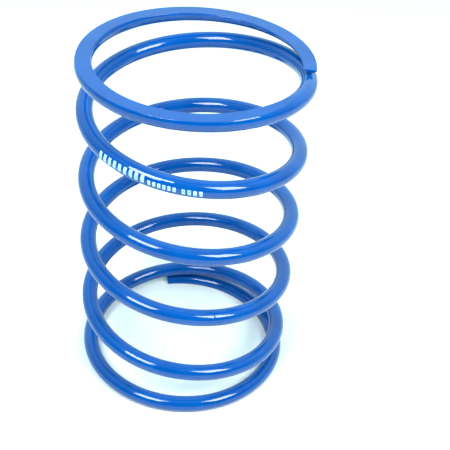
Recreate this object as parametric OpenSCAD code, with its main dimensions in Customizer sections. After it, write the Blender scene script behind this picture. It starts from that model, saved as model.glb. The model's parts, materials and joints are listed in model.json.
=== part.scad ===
// Cylindrical compression spring, left-hand wound from round wire, with closed and ground ends.
// Millimetres. +Z is the spring's axis, and the origin is the middle of the lower ground face.
// The wire is divided by upright planes through the axis into two end coils and a row of short
// sections, so that each section can slide down past its neighbours as the spring is compressed.

/* [Spring] */
// Free length, from ground face to ground face
free_length = 137; // [125:1:150]
// Mean diameter of the coils, from wire centre to wire centre
mean_dia = 79.6; // [74:0.2:86]
// Diameter of the round wire
wire_dia = 6.3; // [5.6:0.1:7]
// Whole turns of open coil between the two end coils
open_coils = 4; // [3:1:5]
// Direction of the lower tip, in degrees round the axis
tip_direction = 103; // [0:1:359]

/* [Ground ends] */
// Thickness left at the lower ground tip
bottom_tip_thickness = 2.8; // [1.6:0.1:3]
// Thickness left at the upper ground tip
top_tip_thickness = 1.4; // [1.2:0.1:2.4]
// How far the wire climbs just after the lower tip, before it lies almost flat
bottom_tip_rise = 2.2; // [1.5:0.1:3]
// The same at the upper end
top_tip_rise = 3.6; // [2.4:0.1:3.8]
// Turns over which the wire makes that climb
tip_rise_turns = 0.52; // [0.4:0.01:0.6]
// Turns from the lower tip to where the pitch starts to grow
bottom_flat_turns = 0.64; // [0.6:0.01:0.7]
// The same at the upper end
top_flat_turns = 0.70; // [0.65:0.01:0.74]
// Turns over which the pitch grows from the lower flat to the open coils
bottom_ramp_turns = 0.57; // [0.45:0.01:0.6]
// The same at the upper end
top_ramp_turns = 0.39; // [0.36:0.01:0.5]
// Gap between each tip and the coil beside it
tip_gap = 0.35; // [0.25:0.05:0.6]

/* [Sections] */
// Number of sections in each turn of open coil
sections_per_turn = 8; // [6:1:10]
// Sides of the wire's section
wire_sides = 16; // [12:4:20]
// Angle between neighbouring rings of the wire's surface
ring_step = 9; // [7.5:0.5:15]

/* [Hidden] */
SECTIONS = [
    for (coil = [1:open_coils], part = [1:sections_per_turn])
        str("open_coil_", coil, "_section_", part)
];

paint_blue = [0.04, 0.33, 0.85];
wire_radius = wire_dia / 2;
mean_radius = mean_dia / 2;
// How far the grinding disc reaches past the wire
disc_margin = 5;

// Each end is listed as its tip's rise, its flat turns and its ramp's turns
BOTTOM = [bottom_tip_rise, bottom_flat_turns, bottom_ramp_turns];
TOP = [top_tip_rise, top_flat_turns, top_ramp_turns];
function tip_rise(end) = end[0];
function flat_turns(end) = end[1];
function ramp_turns(end) = end[2];

// Turns of wire from an end's tip to the open pitch, and in the whole spring
function end_turns(end) = flat_turns(end) + ramp_turns(end);
total_turns = end_turns(BOTTOM) + open_coils + end_turns(TOP);
// Turns of wire in each of the two end coils, beside the sections of the open coils
end_coil_turns = (total_turns - open_coils) / 2;

// How far the wire's centre is inside the ground plane at each tip, and its climb from tip to tip
bottom_tip_depth = bottom_tip_thickness - wire_radius;
top_tip_depth = top_tip_thickness - wire_radius;
total_climb = free_length - bottom_tip_depth - top_tip_depth;
// Climb over the first turn from a tip, which carries the wire just clear of that tip
first_turn_climb = wire_dia + tip_gap;

// Area under a smooth ramp that rises from 0 to 1 and then stays there, up to t ramp lengths
function ramp_area(t) =
    t <= 0 ? 0
    : t >= 1 ? t - 0.5
    : pow(t, 3) - pow(t, 4) / 2;

// Turns' worth of open pitch in the first u turns from an end's tip. Along the ramp the pitch
// changes from the end's flat pitch to the open pitch.
function open_passed(u, end) = ramp_turns(end) * ramp_area((u - flat_turns(end)) / ramp_turns(end));

// The flat pitch that gives the first turn its climb, for a given open pitch
function flat_pitch(end, pitch) =
    let (open_part = open_passed(1, end))
    (first_turn_climb - tip_rise(end) - pitch * open_part) / (1 - open_part);

// Climb of the wire's centre over the first u turns from an end's tip
function end_climb(u, end, pitch) =
    let (flat = flat_pitch(end, pitch), left = max(0, 1 - u / tip_rise_turns))
    tip_rise(end) * (1 - left * left) + flat * u + (pitch - flat) * open_passed(u, end);

// Climb of the whole spring, if its open pitch were the one given. It grows evenly with the
// pitch, so two trial pitches give the one that makes the spring as long as it should be.
function climb_at(pitch) =
    end_climb(end_turns(BOTTOM), BOTTOM, pitch)
    + open_coils * pitch
    + end_climb(end_turns(TOP), TOP, pitch);
open_pitch = (total_climb - climb_at(0)) / (climb_at(1) - climb_at(0));

// Height of the wire's centre at turn s, worked out from the nearer tip
function wire_height(s) =
    s < total_turns / 2
    ? bottom_tip_depth + end_climb(s, BOTTOM, open_pitch)
    : free_length - top_tip_depth - end_climb(total_turns - s, TOP, open_pitch);

// The wire's section at turn s, standing in the upright plane through the axis.
// Left-hand wound: the wire climbs clockwise, seen from above.
function wire_ring(s) =
    let (direction = tip_direction - 360 * s, height = wire_height(s))
    [for (k = [0:wire_sides - 1])
        let (a = 360 * k / wire_sides, r = mean_radius + wire_radius * cos(a))
        [r * cos(direction), r * sin(direction), height + wire_radius * sin(a)]];

// The faces between ring j and the next one
function side_faces(j) =
    [for (k = [0:wire_sides - 1])
        let (a = j * wire_sides + k, b = j * wire_sides + (k + 1) % wire_sides)
        each [[a, a + wire_sides, b], [b, a + wire_sides, b + wire_sides]]];

// The wire from turn s0 to turn s1, as one closed solid with a flat face at each end
module wire(s0, s1) {
    steps = ceil((s1 - s0) * 360 / ring_step - 0.001);
    points = [for (j = [0:steps]) each wire_ring(s0 + (s1 - s0) * j / steps)];
    sides = [for (j = [0:steps - 1]) each side_faces(j)];
    first_face = [for (k = [0:wire_sides - 1]) k];
    last_face = [for (k = [wire_sides - 1:-1:0]) steps * wire_sides + k];
    polyhedron(points = points, faces = concat(sides, [first_face, last_face]), convexity = 6);
}

// What grinding takes off the lower end: everything below the end's plane
module ground_off() {
    translate([0, 0, -wire_dia])
        cylinder(r = mean_radius + wire_radius + disc_margin, h = wire_dia, $fn = 64);
}

module bottom_end_coil() {
    color(paint_blue)
        difference() {
            wire(0, end_coil_turns);
            ground_off();
        }
}

module top_end_coil() {
    color(paint_blue)
        difference() {
            wire(total_turns - end_coil_turns, total_turns);
            translate([0, 0, free_length])
                mirror([0, 0, 1])
                    ground_off();
        }
}

// Section i of the open coils, counted from 0 at the lower end coil
module open_section(i) {
    start = end_coil_turns + i / sections_per_turn;
    color(paint_blue)
        wire(start, start + 1 / sections_per_turn);
}

bottom_end_coil();
for (i = [0:len(SECTIONS) - 1])
    open_section(i);
top_end_coil();
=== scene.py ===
import json
import math

import bmesh
import bpy
import numpy as np
from mathutils import Matrix, Vector


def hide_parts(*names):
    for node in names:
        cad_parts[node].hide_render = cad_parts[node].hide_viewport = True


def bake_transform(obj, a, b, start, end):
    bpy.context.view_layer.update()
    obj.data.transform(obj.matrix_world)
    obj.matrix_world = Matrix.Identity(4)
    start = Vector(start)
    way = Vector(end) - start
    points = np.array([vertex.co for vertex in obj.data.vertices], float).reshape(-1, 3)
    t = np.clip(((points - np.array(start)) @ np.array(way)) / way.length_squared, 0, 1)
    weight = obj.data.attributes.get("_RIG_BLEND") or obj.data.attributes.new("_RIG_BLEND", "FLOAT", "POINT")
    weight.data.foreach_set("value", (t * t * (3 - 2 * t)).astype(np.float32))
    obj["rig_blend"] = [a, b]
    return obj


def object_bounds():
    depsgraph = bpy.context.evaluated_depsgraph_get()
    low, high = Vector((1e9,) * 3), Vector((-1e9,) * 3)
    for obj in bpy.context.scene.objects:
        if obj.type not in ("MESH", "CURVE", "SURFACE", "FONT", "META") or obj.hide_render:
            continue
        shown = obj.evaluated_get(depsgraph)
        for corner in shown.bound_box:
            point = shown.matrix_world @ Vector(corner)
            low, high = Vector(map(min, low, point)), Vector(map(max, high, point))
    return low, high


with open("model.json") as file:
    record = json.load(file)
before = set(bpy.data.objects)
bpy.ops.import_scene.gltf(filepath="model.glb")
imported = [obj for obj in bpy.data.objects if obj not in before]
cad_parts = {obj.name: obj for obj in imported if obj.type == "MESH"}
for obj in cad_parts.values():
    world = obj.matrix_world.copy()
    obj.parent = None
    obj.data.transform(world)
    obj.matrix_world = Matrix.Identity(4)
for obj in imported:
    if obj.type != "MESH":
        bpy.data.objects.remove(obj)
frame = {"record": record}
cad_box = [list(corner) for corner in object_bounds()]

# A blue-painted compression spring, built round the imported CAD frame. Metres, in the frame's axes:
# +Z is the spring's axis and the lower ground face lies on Z = 0. The wire is left-hand wound, and
# a place along it is given in turns from the lower tip.

MM = 0.001
DEGREE = math.pi / 180


# ---- The helix, as in the CAD part ----

def mount(name):
    """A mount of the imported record, by name."""
    return next(m for m in frame["record"]["mounts"] if m["name"] == name)


FREE_LENGTH = cad_box[1][2] - cad_box[0][2]
# The seat's own point is on the wire's mean circle, and the pilot fills the inside of the coils
MEAN_RADIUS = math.hypot(*mount("bottom_seat")["pos_m"][:2])
INNER_RADIUS = mount("bottom_pilot")["dims"]["r_mm"] * MM
WIRE_RADIUS = MEAN_RADIUS - INNER_RADIUS
OUTER_RADIUS = MEAN_RADIUS + WIRE_RADIUS

OPEN_COILS = 4
SECTIONS_PER_COIL = 8
TIP_DIRECTION = 103 * DEGREE
TIP_GAP = 0.35 * MM
TIP_RISE_TURNS = 0.52
# Each end's thickness at its tip, its climb just after the tip, and the turns that it lies flat
# and then takes to reach the open pitch
BOTTOM = {"thickness": 2.8 * MM, "rise": 2.2 * MM, "flat": 0.64, "ramp": 0.57}
TOP = {"thickness": 1.4 * MM, "rise": 3.6 * MM, "flat": 0.70, "ramp": 0.39}


def end_turns(end):
    """Turns of wire from an end's tip to the open pitch."""
    return end["flat"] + end["ramp"]


TOTAL_TURNS = end_turns(BOTTOM) + OPEN_COILS + end_turns(TOP)
# Turns of wire in each of the two end coils, beside the sections of the open coils
END_COIL_TURNS = (TOTAL_TURNS - OPEN_COILS) / 2


def ramp_area(t):
    """Area under a smooth ramp that rises from 0 to 1 and then stays there, up to t ramp lengths."""
    inside = np.clip(t, 0, 1)
    return np.where(np.asarray(t) >= 1, np.asarray(t) - 0.5, inside**3 - inside**4 / 2)


def open_passed(u, end):
    """Turns' worth of open pitch in the first u turns from an end's tip."""
    return end["ramp"] * ramp_area((u - end["flat"]) / end["ramp"])


def flat_pitch(end, pitch):
    """The flat pitch that makes the end's first turn climb just clear of its tip."""
    open_part = open_passed(1, end)
    return (2 * WIRE_RADIUS + TIP_GAP - end["rise"] - pitch * open_part) / (1 - open_part)


def end_climb(u, end, pitch):
    """Climb of the wire's centre over the first u turns from an end's tip."""
    flat = flat_pitch(end, pitch)
    left = np.maximum(0, 1 - u / TIP_RISE_TURNS)
    return end["rise"] * (1 - left**2) + flat * u + (pitch - flat) * open_passed(u, end)


def climb_at(pitch):
    """Climb of the whole spring, if its open pitch were the one given."""
    ends = sum(end_climb(end_turns(end), end, pitch) for end in (BOTTOM, TOP))
    return ends + OPEN_COILS * pitch


BOTTOM_DEPTH = BOTTOM["thickness"] - WIRE_RADIUS
TOP_DEPTH = TOP["thickness"] - WIRE_RADIUS
# The climb grows evenly with the open pitch, so two trial pitches give the right one
OPEN_PITCH = float((FREE_LENGTH - BOTTOM_DEPTH - TOP_DEPTH - climb_at(0)) / (climb_at(1) - climb_at(0)))


def wire_height(s):
    """Height of the wire's centre at turn s, worked out from the nearer tip."""
    from_bottom = BOTTOM_DEPTH + end_climb(s, BOTTOM, OPEN_PITCH)
    from_top = FREE_LENGTH - TOP_DEPTH - end_climb(TOTAL_TURNS - s, TOP, OPEN_PITCH)
    return np.where(s < TOTAL_TURNS / 2, from_bottom, from_top)


def direction(s):
    """Direction of turn s round the axis, in radians."""
    return TIP_DIRECTION - 2 * math.pi * s


# The compression's share grows from 0 to 1 between the two end turns, with soft starts this long
SHARE_EASE = 0.3


def share(s):
    """How much of the compression reaches turn s."""
    rise = ramp_area((s - 1) / SHARE_EASE)
    fall = ramp_area((s - TOTAL_TURNS + 1 + SHARE_EASE) / SHARE_EASE)
    return SHARE_EASE * (rise - fall) / (TOTAL_TURNS - 2 - SHARE_EASE)


# ---- The wire's outline, round or ground flat ----

HALF_RING = 32
FLAT_SEGMENTS = 6
CORNER_SEGMENTS = 8
# The painted corner between a ground face and the round of the wire
CORNER_RADIUS = 0.3 * MM
LEAST_CORNER = 0.04 * MM
# Half the width of ground face at which the points have all moved into place for it
FULL_FLAT = 1 * MM


def half_outline(height, shrink):
    """Half the outline of wire whose centre is height above the grinding plane.

    It runs from the middle of the ground face, outward and up, to the top, as (outward, up) points
    and normals. shrink sets the whole outline back."""
    radius = WIRE_RADIUS - shrink
    height = height - shrink
    corner = max(CORNER_RADIUS - shrink, LEAST_CORNER)
    reach = (radius - height) * (radius + height - 2 * corner)
    is_ground = height < radius and reach > 0
    half = math.sqrt(reach) if is_ground else 0.0
    meet = math.atan2(corner - height, half) if is_ground else -math.pi / 2
    corner_end = half + corner * (meet + math.pi / 2)
    stops = [0, half, corner_end, corner_end + radius * (math.pi / 2 - meet)]
    index = np.arange(HALF_RING + 1)
    even = index / HALF_RING * stops[3]
    shaped = np.interp(index, [0, FLAT_SEGMENTS, FLAT_SEGMENTS + CORNER_SEGMENTS, HALF_RING], stops)
    grown = min(half / FULL_FLAT, 1)
    way = even + (shaped - even) * grown * grown * (3 - 2 * grown)

    on_flat = (way <= half) & is_ground
    on_corner = ~on_flat & (way < corner_end)
    angle = np.where(on_corner, (way - half) / corner - math.pi / 2, meet + (way - corner_end) / radius)
    angle = np.where(on_flat, -math.pi / 2, angle)
    normals = np.stack([np.cos(angle), np.sin(angle)], 1)
    on_low = on_corner | on_flat
    turn_radius = np.where(on_low, corner, radius)
    centres = np.stack([np.where(on_corner, half, 0), np.where(on_low, corner - height, 0)], 1)
    points = centres + turn_radius[:, None] * normals
    points[:, 0] += np.where(on_flat, way, 0)
    return points, normals, on_flat


def ring_outline(s, shrink):
    """The whole outline at turn s, from the lowest point, as (outward, up) points and normals."""
    low = float(wire_height(s))
    high = FREE_LENGTH - low
    points, normals, on_flat = half_outline(min(low, high), shrink)
    if high < low:
        points, normals, on_flat = points[::-1] * (1, -1), normals[::-1] * (1, -1), on_flat[::-1]

    def both_sides(half):
        return np.concatenate([half, half[-2:0:-1] * (-1, 1)])

    return both_sides(points), both_sides(normals), np.concatenate([on_flat, on_flat[-2:0:-1]])


RING = 2 * HALF_RING
NUDGE = 1e-4


def outward(s):
    """Unit vector from the axis to turn s."""
    return np.array([math.cos(direction(s)), math.sin(direction(s)), 0])


def onward(s):
    """Unit vector round the axis, the way the wire climbs."""
    return np.array([math.sin(direction(s)), -math.cos(direction(s)), 0])


UP = np.array([0, 0, 1.0])


def place(s, outline):
    """Points of an outline at turn s, in the row frame."""
    across = (MEAN_RADIUS + outline[:, :1]) * outward(s)
    return across + (float(wire_height(s)) + outline[:, 1:]) * UP


def wire_ring(s, shrink, tilt):
    """Points and true surface normals at turn s. tilt turns the normals towards a cut end."""
    outline, flat_normals, on_flat = ring_outline(s, shrink)
    ahead = place(s + NUDGE, ring_outline(s + NUDGE, shrink)[0])
    behind = place(s - NUDGE, ring_outline(s - NUDGE, shrink)[0])
    around = -flat_normals[:, 1:] * outward(s) + flat_normals[:, :1] * UP
    normals = np.cross(around, ahead - behind)
    facing = flat_normals[:, :1] * outward(s) + flat_normals[:, 1:] * UP
    normals *= np.sign(np.sum(normals * facing, 1))[:, None]
    normals /= np.linalg.norm(normals, axis=1)[:, None]
    normals = normals * math.cos(tilt) + onward(s) * math.sin(tilt)
    return place(s, outline), normals, on_flat, outline


# ---- Meshes ----

def closed_tube(name, points, normals, first_normal, last_normal):
    """A closed mesh through rings of points, with the given normals and a flat cap at each end."""
    rings, around = points.shape[:2]
    grid = np.arange(rings * around).reshape(rings, around)
    beside = np.roll(grid, -1, axis=1)
    quads = np.stack([grid[:-1], beside[:-1], beside[1:], grid[1:]], 2).reshape(-1, 4)
    faces = quads.tolist() + [grid[0, ::-1].tolist(), grid[-1].tolist()]
    mesh = bpy.data.meshes.new(name)
    mesh.from_pydata(points.reshape(-1, 3).tolist(), [], faces)
    mesh.polygons.foreach_set("use_smooth", [True] * len(quads) + [False, False])
    side = normals.reshape(-1, 3)[quads.ravel()]
    caps = np.concatenate([np.tile(first_normal, (around, 1)), np.tile(last_normal, (around, 1))])
    mesh.normals_split_custom_set(np.concatenate([side, caps]).tolist())
    obj = bpy.data.objects.new(name, mesh)
    bpy.context.scene.collection.objects.link(obj)
    return obj


def store(obj, name, values):
    """Keeps one number, or one vector, for each vertex."""
    values = np.asarray(values, np.float32)
    kind, key = ("FLOAT", "value") if values.ndim == 1 else ("FLOAT_VECTOR", "vector")
    attributes = obj.data.attributes
    attribute = attributes.get(name) or attributes.new(name, kind, "POINT")
    attribute.data.foreach_set(key, values.ravel())


def move_with_spring(obj, shares):
    """The piece bends between the two end coils, each vertex with its own share of the travel."""
    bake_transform(obj, "bottom_end", "top_end", start=(0, 0, 0), end=(0, 0, FREE_LENGTH))
    store(obj, "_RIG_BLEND", shares)


def wire_length(s):
    """Length of wire up to turn s, along its mean line."""
    return s * math.hypot(2 * math.pi * MEAN_RADIUS, OPEN_PITCH)


RING_STEP = 1.5 / 360
END_ROUND = 0.25 * MM
END_ROUND_STEPS = 4


def tip_rings():
    """(turns from the tip, shrink, tilt) of the rings that round off a cut end."""
    rings = []
    for j in range(END_ROUND_STEPS):
        tilt = (1 - j / END_ROUND_STEPS) * math.pi / 2
        back = END_ROUND * (1 - math.sin(tilt)) / (2 * math.pi * MEAN_RADIUS)
        rings.append((back, END_ROUND * (1 - math.cos(tilt)), tilt))
    return rings


def even_rings(start, end):
    """Rings from turn start to turn end, as (turn, shrink, tilt)."""
    steps = math.ceil((end - start) / RING_STEP - 0.001)
    return [(start + (end - start) * j / steps, 0.0, 0.0) for j in range(steps + 1)]


def wire_piece(node, rings):
    """The painted wire that stands for one CAD node."""
    made = [wire_ring(s, shrink, tilt) for s, shrink, tilt in rings]
    points, normals, on_flat, outlines = (np.array([m[k] for m in made]) for k in range(4))
    turns = np.array([s for s, _, _ in rings])
    obj = closed_tube(f"{node}_wire", points, normals, -onward(turns[0]), onward(turns[-1]))
    along = np.repeat(wire_length(turns), RING)
    store(obj, "wire_place", np.column_stack([along, outlines.reshape(-1, 2)]))
    store(obj, "ground", on_flat.ravel())
    move_with_spring(obj, np.repeat(share(turns), RING))
    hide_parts(node)
    return obj


def wire_pieces():
    """One piece for each CAD node, from the lower tip to the upper one."""
    tip = tip_rings()
    lower = [(back, shrink, -tilt) for back, shrink, tilt in tip]
    round_turns = END_ROUND / (2 * math.pi * MEAN_RADIUS)
    pieces = [wire_piece("bottom_end_coil", lower + even_rings(round_turns, END_COIL_TURNS))]
    for i in range(OPEN_COILS * SECTIONS_PER_COIL):
        coil, section = divmod(i, SECTIONS_PER_COIL)
        start = END_COIL_TURNS + i / SECTIONS_PER_COIL
        rings = even_rings(start, start + 1 / SECTIONS_PER_COIL)
        pieces.append(wire_piece(f"open_coil_{coil + 1}_section_{section + 1}", rings))
    upper = [(TOTAL_TURNS - back, shrink, tilt) for back, shrink, tilt in reversed(tip)]
    rings = even_rings(TOTAL_TURNS - END_COIL_TURNS, TOTAL_TURNS - round_turns) + upper
    pieces.append(wire_piece("top_end_coil", rings))
    return pieces


# ---- The printed marks: plain bars of ink on the paint ----

INK_TOP = 0.05 * MM
INK_ROOT = -0.03 * MM
PRINT_LEFT_TURN = 4.667
OUTER_TURN_LENGTH = 2 * math.pi * OUTER_RADIUS
# Each row of bars: distance of its first bar from the left of the print, count, pitch and width in
# millimetres, and the angles round the wire that it runs between, in degrees from outward
BAR_ROWS = [
    (0.0, 9, 2.25, 1.25, -12, 36),
    (13.0, 1, 0.0, 16.5, 44, 50),
    (20.6, 6, 1.75, 1.05, -14, 18),
    (32.4, 4, 1.95, 1.15, -18, 18),
]
INK_STEP = 0.8 * MM


def ink_bar(left, width, low, high):
    """Vertices, faces and turns of one bar of ink, which follows the wire."""
    columns = max(2, math.ceil(width / INK_STEP) + 1)
    rows = max(2, math.ceil((high - low) * DEGREE * WIRE_RADIUS / INK_STEP) * 2 + 1)
    points = []
    turns = []
    for lift in (INK_TOP, INK_ROOT):
        for i in range(columns):
            s = PRINT_LEFT_TURN - (left + width * i / (columns - 1)) / OUTER_TURN_LENGTH
            for j in range(rows):
                angle = (low + (high - low) * j / (rows - 1)) * DEGREE
                radius = WIRE_RADIUS + lift
                outline = np.array([[radius * math.cos(angle), radius * math.sin(angle)]])
                points.append(place(s, outline)[0])
                turns.append(s)
    grid = np.arange(2 * columns * rows).reshape(2, columns, rows)
    top, root = grid
    faces = []
    for sheet, order in ((top, 1), (root, -1)):
        quads = np.stack([sheet[:-1, :-1], sheet[1:, :-1], sheet[1:, 1:], sheet[:-1, 1:]], 2)
        faces += quads.reshape(-1, 4)[:, ::order].tolist()
    rim_top = np.concatenate([top[:, 0], top[-1, 1:], top[-2::-1, -1], top[0, -2:0:-1]])
    rim_root = np.concatenate([root[:, 0], root[-1, 1:], root[-2::-1, -1], root[0, -2:0:-1]])
    rim = np.stack([rim_top, rim_root, np.roll(rim_root, -1), np.roll(rim_top, -1)], 1)
    return points, faces + rim.tolist(), turns


def printed_marks():
    """All the bars, as one piece of closed films."""
    points = []
    faces = []
    turns = []
    for first, count, pitch, width, low, high in BAR_ROWS:
        for i in range(count):
            bar_points, bar_faces, bar_turns = ink_bar((first + i * pitch) * MM, width * MM, low, high)
            faces += [[v + len(points) for v in face] for face in bar_faces]
            points += bar_points
            turns += bar_turns
    mesh = bpy.data.meshes.new("printed_marks")
    mesh.from_pydata([tuple(p) for p in points], [], faces)
    obj = bpy.data.objects.new("printed_marks", mesh)
    bpy.context.scene.collection.objects.link(obj)
    move_with_spring(obj, share(np.array(turns)))
    return obj


# ---- A nib in the paint ----

NIB_TURN = 2.492
# Angle round the wire, from outward
NIB_ANGLE = 48 * DEGREE
# Half its size along the wire and round it, and its height
NIB_ALONG = 0.35 * MM
NIB_ROUND = 0.7 * MM
NIB_HEIGHT = 0.38 * MM
NIB_SEGMENTS = 20


def paint_nib():
    """A low drop of paint that dried on the outside of one coil."""
    mesh = bpy.data.meshes.new("paint_nib")
    shape = bmesh.new()
    bmesh.ops.create_uvsphere(shape, u_segments=NIB_SEGMENTS, v_segments=NIB_SEGMENTS // 2, radius=1)
    out = math.cos(NIB_ANGLE) * outward(NIB_TURN) + math.sin(NIB_ANGLE) * UP
    along = onward(NIB_TURN)
    across = np.cross(along, out)
    outline = np.array([[math.cos(NIB_ANGLE), math.sin(NIB_ANGLE)]]) * WIRE_RADIUS
    middle = place(NIB_TURN, outline)[0]
    for vertex in shape.verts:
        x, y, z = vertex.co
        spot = middle + NIB_ALONG * x * along + NIB_ROUND * y * across + NIB_HEIGHT * z * out
        vertex.co = Vector(spot)
    for face in shape.faces:
        face.smooth = True
    bmesh.ops.recalc_face_normals(shape, faces=shape.faces)
    shape.to_mesh(mesh)
    shape.free()
    obj = bpy.data.objects.new("paint_nib", mesh)
    bpy.context.scene.collection.objects.link(obj)
    move_with_spring(obj, np.full(len(mesh.vertices), float(share(NIB_TURN))))
    return obj


# ---- Materials ----

PAINT_DEEP = (0.0003, 0.052, 0.245, 1)
PAINT_LIGHT = (0.0008, 0.068, 0.300, 1)
INK_WORN = (0.05, 0.28, 0.56, 1)
INK_WHITE = (0.40, 0.62, 0.74, 1)
CARD_DULL = (0.70, 0.77, 0.76, 1)
CARD_CLEAN = (0.73, 0.79, 0.78, 1)
# Noise cells per metre along the wire and outward across it, for the grinding lines
GRINDING_GRAIN = (30, 2600, 0)


def new_material(name):
    """An empty material with its Principled shader, and helpers that add nodes and links."""
    material = bpy.data.materials.new(name)
    material.use_nodes = True
    tree = material.node_tree
    shader = tree.nodes["Principled BSDF"]

    def add(kind, **settings):
        node = tree.nodes.new(kind)
        for key, value in settings.items():
            if hasattr(node, key):
                setattr(node, key, value)
            else:
                node.inputs[key.replace("_", " ")].default_value = value
        return node

    return material, shader, add, tree.links.new


def blue_paint():
    """Gloss azure enamel, with slight waves, dust nibs and, on the ground faces, grinding marks."""
    material, shader, add, link = new_material("blue_paint")
    where = add("ShaderNodeAttribute", attribute_name="wire_place").outputs["Vector"]

    patches = add("ShaderNodeTexNoise", Scale=90.0, Detail=3.0)
    link(where, patches.inputs["Vector"])
    shade = add("ShaderNodeValToRGB")
    shade.color_ramp.elements[0].position = 0.3
    shade.color_ramp.elements[0].color = PAINT_DEEP
    shade.color_ramp.elements[1].position = 0.7
    shade.color_ramp.elements[1].color = PAINT_LIGHT
    link(patches.outputs["Fac"], shade.inputs["Fac"])
    link(shade.outputs["Color"], shader.inputs["Base Color"])

    haze = add("ShaderNodeTexNoise", Scale=260.0, Detail=4.0)
    link(where, haze.inputs["Vector"])
    gloss = add("ShaderNodeMapRange", From_Min=0.35, From_Max=0.7, To_Min=0.06, To_Max=0.11)
    link(haze.outputs["Fac"], gloss.inputs["Value"])
    link(gloss.outputs["Result"], shader.inputs["Roughness"])

    # Orange peel, dust under the paint, and the lines that the grinding wheel leaves round the ends
    peel = add("ShaderNodeTexNoise", Scale=260.0, Detail=1.0)
    link(where, peel.inputs["Vector"])
    waves = add("ShaderNodeBump", Strength=0.07, Distance=0.02 * MM)
    link(peel.outputs["Fac"], waves.inputs["Height"])

    dust = add("ShaderNodeTexVoronoi", Scale=170.0)
    link(where, dust.inputs["Vector"])
    speck = add("ShaderNodeMapRange", From_Min=0.0, From_Max=0.055, To_Min=1.0, To_Max=0.0)
    link(dust.outputs["Distance"], speck.inputs["Value"])
    nibs = add("ShaderNodeBump", Strength=0.5, Distance=0.06 * MM)
    link(speck.outputs["Result"], nibs.inputs["Height"])
    link(waves.outputs["Normal"], nibs.inputs["Normal"])

    ground = add("ShaderNodeAttribute", attribute_name="ground").outputs["Fac"]
    stretch = add("ShaderNodeVectorMath", operation="MULTIPLY")
    stretch.inputs[1].default_value = GRINDING_GRAIN
    link(where, stretch.inputs[0])
    lines = add("ShaderNodeTexNoise", Scale=1.0, Detail=2.0)
    link(stretch.outputs["Vector"], lines.inputs["Vector"])
    masked = add("ShaderNodeMath", operation="MULTIPLY")
    link(lines.outputs["Fac"], masked.inputs[0])
    link(ground, masked.inputs[1])
    marks = add("ShaderNodeBump", Strength=0.25, Distance=0.02 * MM)
    link(masked.outputs["Value"], marks.inputs["Height"])
    link(nibs.outputs["Normal"], marks.inputs["Normal"])
    link(marks.outputs["Normal"], shader.inputs["Normal"])

    shader.inputs["IOR"].default_value = 1.4
    shader.inputs["Coat Weight"].default_value = 0.2
    shader.inputs["Coat Roughness"].default_value = 0.03
    return material


def white_print():
    """Slightly worn white ink."""
    material, shader, add, link = new_material("white_print")
    where = add("ShaderNodeTexCoord")
    worn = add("ShaderNodeTexNoise", Scale=1500.0, Detail=3.0)
    link(where.outputs["Object"], worn.inputs["Vector"])
    shade = add("ShaderNodeValToRGB")
    shade.color_ramp.elements[0].position = 0.3
    shade.color_ramp.elements[0].color = INK_WORN
    shade.color_ramp.elements[1].position = 0.5
    shade.color_ramp.elements[1].color = INK_WHITE
    link(worn.outputs["Fac"], shade.inputs["Fac"])
    link(shade.outputs["Color"], shader.inputs["Base Color"])
    shader.inputs["Roughness"].default_value = 0.45
    return material


def white_floor():
    """Plain white card."""
    material, shader, add, link = new_material("white_floor")
    where = add("ShaderNodeTexCoord")
    mottle = add("ShaderNodeTexNoise", Scale=3.0, Detail=2.0)
    link(where.outputs["Object"], mottle.inputs["Vector"])
    shade = add("ShaderNodeValToRGB")
    shade.color_ramp.elements[0].color = CARD_DULL
    shade.color_ramp.elements[1].color = CARD_CLEAN
    link(mottle.outputs["Fac"], shade.inputs["Fac"])
    link(shade.outputs["Color"], shader.inputs["Base Color"])
    shader.inputs["Roughness"].default_value = 0.6
    return material


# ---- The studio ----

FLOOR_RADIUS = 3.0
FLOOR_SIDES = 96
# A hair of air under the spring, so that its ground face and the floor don't share a plane
FLOOR_GAP = 0.02 * MM


def studio_floor():
    """A wide white floor, on which the spring stands."""
    mesh = bpy.data.meshes.new("floor")
    angles = [2 * math.pi * k / FLOOR_SIDES for k in range(FLOOR_SIDES)]
    rim = [(FLOOR_RADIUS * math.cos(a), FLOOR_RADIUS * math.sin(a), 0) for a in angles]
    mesh.from_pydata(rim, [], [list(range(FLOOR_SIDES))])
    floor = bpy.data.objects.new("floor", mesh)
    bpy.context.scene.collection.objects.link(floor)
    floor.location.z = cad_box[0][2] - FLOOR_GAP
    floor.data.materials.append(white_floor())


LIGHT_DISTANCE = 0.9
# How wide and how high a softbox looks from the spring, in degrees
LIGHT_WIDTH = 23
LIGHT_HEIGHT = 26
LIGHT_RADIANCE = 21
LIGHT_TINT = (0.93, 1, 1)


def softbox(name, azimuth, elevation):
    """A rectangular light, seen from the spring in that direction, in degrees."""
    data = bpy.data.lights.new(name, "AREA")
    data.shape = "RECTANGLE"
    data.size = 2 * LIGHT_DISTANCE * math.tan(LIGHT_WIDTH / 2 * DEGREE)
    data.size_y = 2 * LIGHT_DISTANCE * math.tan(LIGHT_HEIGHT / 2 * DEGREE)
    data.energy = LIGHT_RADIANCE * math.pi * data.size * data.size_y
    data.color = LIGHT_TINT
    light = bpy.data.objects.new(name, data)
    bpy.context.scene.collection.objects.link(light)
    level = math.cos(elevation * DEGREE)
    away = Vector((
        level * math.cos(azimuth * DEGREE),
        level * math.sin(azimuth * DEGREE),
        math.sin(elevation * DEGREE),
    ))
    light.location = away * LIGHT_DISTANCE + Vector((0, 0, FREE_LENGTH / 2))
    light.rotation_euler = away.to_track_quat("Z", "Y").to_euler()


# Direction of the bright part of the room, which the ground faces reflect to the camera
BRIGHT_SIDE = (0, 0.85, 0.5)
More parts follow.
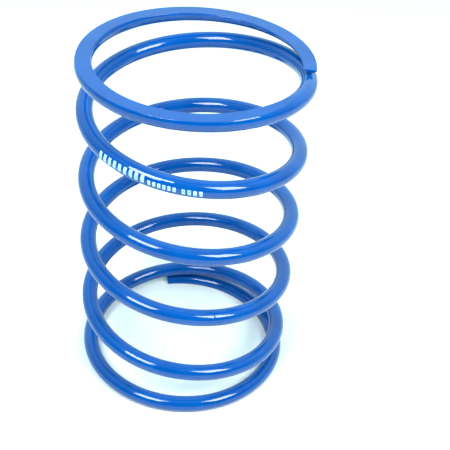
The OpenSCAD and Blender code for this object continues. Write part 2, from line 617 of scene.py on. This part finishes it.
# How far towards that direction the room starts to brighten, and where it is fully bright
DIM_UP_TO = -0.3
BRIGHT_FROM = 0.8
ROOM_DIM = 0.02
ROOM_BRIGHT = 1.32
ROOM_TINT = (0.68, 0.98, 1.0, 1)
SEEN_WHITE = (1, 1, 1, 1)
# A Mix node's colour sockets come after its sockets for numbers and vectors
MIX_COLOR_A = 6
MIX_COLOR_B = 7
MIX_COLOR_RESULT = 2


def surroundings():
    """A room that is bright above and behind the spring. The camera itself sees it white."""
    world = bpy.data.worlds.new("room")
    world.use_nodes = True
    tree = world.node_tree
    add, link = tree.nodes.new, tree.links.new
    background = tree.nodes["Background"]
    where = add("ShaderNodeTexCoord")
    towards = add("ShaderNodeVectorMath")
    towards.operation = "DOT_PRODUCT"
    towards.inputs[1].default_value = BRIGHT_SIDE
    link(where.outputs["Generated"], towards.inputs[0])
    spread = add("ShaderNodeMapRange")
    spread.interpolation_type = "SMOOTHSTEP"
    spread.inputs["From Min"].default_value = DIM_UP_TO
    spread.inputs["From Max"].default_value = BRIGHT_FROM
    spread.inputs["To Min"].default_value = ROOM_DIM
    spread.inputs["To Max"].default_value = ROOM_BRIGHT
    link(towards.outputs["Value"], spread.inputs["Value"])
    rays = add("ShaderNodeLightPath")
    strength = add("ShaderNodeMix")
    strength.inputs["B"].default_value = 1.0
    link(rays.outputs["Is Camera Ray"], strength.inputs["Factor"])
    link(spread.outputs["Result"], strength.inputs["A"])
    link(strength.outputs["Result"], background.inputs["Strength"])
    tint = add("ShaderNodeMix")
    tint.data_type = "RGBA"
    tint.inputs[MIX_COLOR_A].default_value = ROOM_TINT
    tint.inputs[MIX_COLOR_B].default_value = SEEN_WHITE
    link(rays.outputs["Is Camera Ray"], tint.inputs["Factor"])
    link(tint.outputs[MIX_COLOR_RESULT], background.inputs["Color"])
    bpy.context.scene.world = world


SENSOR_WIDTH = 36
LENS = 74.29
CAMERA_PLACE = (0, -0.29334, 0.28936)
# How far the camera looks down, turns to the right of +Y, and tilts
CAMERA_PITCH = 37.466 * DEGREE
CAMERA_YAW = 2.817 * DEGREE
CAMERA_ROLL = 4.699 * DEGREE


def camera():
    """Looks down at the spring from in front, turned and tilted a little, as the photo is taken."""
    data = bpy.data.cameras.new("camera")
    data.sensor_width = SENSOR_WIDTH
    data.lens = LENS
    obj = bpy.data.objects.new("camera", data)
    bpy.context.scene.collection.objects.link(obj)
    right = Vector((math.cos(CAMERA_YAW), -math.sin(CAMERA_YAW), 0))
    level = Vector((math.sin(CAMERA_YAW), math.cos(CAMERA_YAW), 0))
    ahead = level * math.cos(CAMERA_PITCH) - Vector((0, 0, math.sin(CAMERA_PITCH)))
    above = right.cross(ahead)
    rolled_right = right * math.cos(CAMERA_ROLL) + above * math.sin(CAMERA_ROLL)
    rolled_above = above * math.cos(CAMERA_ROLL) - right * math.sin(CAMERA_ROLL)
    turn = Matrix((rolled_right, rolled_above, -ahead)).transposed()
    obj.matrix_world = Matrix.Translation(CAMERA_PLACE) @ turn.to_4x4()
    bpy.context.scene.camera = obj


paint = blue_paint()
for piece in wire_pieces() + [paint_nib()]:
    piece.data.materials.append(paint)
printed_marks().data.materials.append(white_print())

studio_floor()
surroundings()
softbox("softbox_right", -38, 46)
softbox("softbox_left", -127, 50)
camera()
bpy.context.scene.view_settings.view_transform = "Standard"
